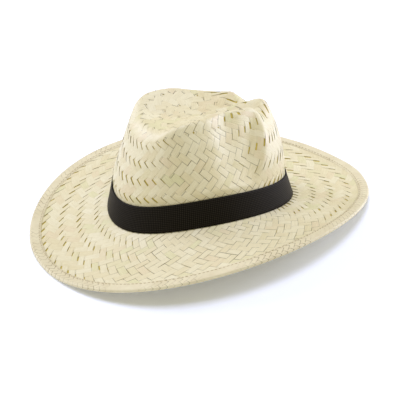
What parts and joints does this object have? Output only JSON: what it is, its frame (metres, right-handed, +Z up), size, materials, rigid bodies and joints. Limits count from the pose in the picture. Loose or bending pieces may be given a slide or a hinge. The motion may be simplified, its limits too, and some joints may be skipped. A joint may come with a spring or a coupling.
{
  "type": "straw hat",
  "caption": "Woven straw hat with a teardrop crown, a curled brim with a folded edge and a plain dark ribbon band.",
  "frame": {"origin": "centre of the hat's outline, on the floor that it rests on", "axes": "+X towards the front of the hat, +Y towards the wearer's left, +Z up"},
  "size_m": [0.387, 0.3164, 0.1377],
  "materials": {
    "straw": "woven palm straw, matte",
    "edge_straw": "folded palm straw, matte",
    "ribbon": "fine twill ribbon, matte"
  },
  "bodies": {
    "root": {"crown": "straw", "brim": "straw", "brim_hem": "edge_straw", "hatband": "ribbon"}
  },
  "joints": []
}
